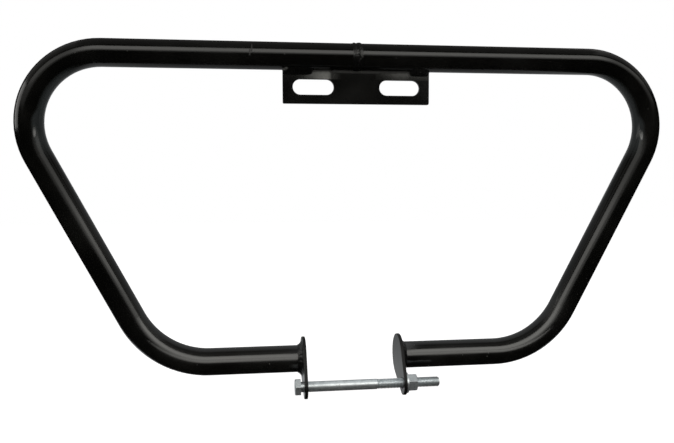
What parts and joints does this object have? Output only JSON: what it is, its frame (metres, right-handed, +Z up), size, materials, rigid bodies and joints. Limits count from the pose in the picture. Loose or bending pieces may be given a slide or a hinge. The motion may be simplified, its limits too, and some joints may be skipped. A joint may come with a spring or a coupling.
{
  "type": "motorcycle crash bar",
  "caption": "Black tubular crash bar for a motorcycle: a wide rounded loop with a slotted bracket plate at the top and lower end tabs joined by a cross bolt.",
  "frame": {"origin": "midway between the bracket's two slots, on the bracket's rear face", "axes": "+X along the top tube to the right as seen from the front, +Y to the rear, +Z up"},
  "size_m": [0.772, 0.07, 0.4158],
  "materials": {
    "black_paint": "gloss",
    "zinc_plate": "bright zinc plate"
  },
  "bodies": {
    "root": {"left_tube": "black_paint", "right_tube": "black_paint", "joint_weld": "black_paint", "mount_bracket": "black_paint", "left_front_stitch": "black_paint", "right_front_stitch": "black_paint", "left_rear_stitch": "black_paint", "right_rear_stitch": "black_paint", "left_end_tab": "black_paint", "right_end_tab": "black_paint", "left_tab_weld": "black_paint", "right_tab_weld": "black_paint", "cross_bolt": "zinc_plate", "nut_washer": "zinc_plate", "bolt_nut": "zinc_plate"}
  },
  "joints": []
}
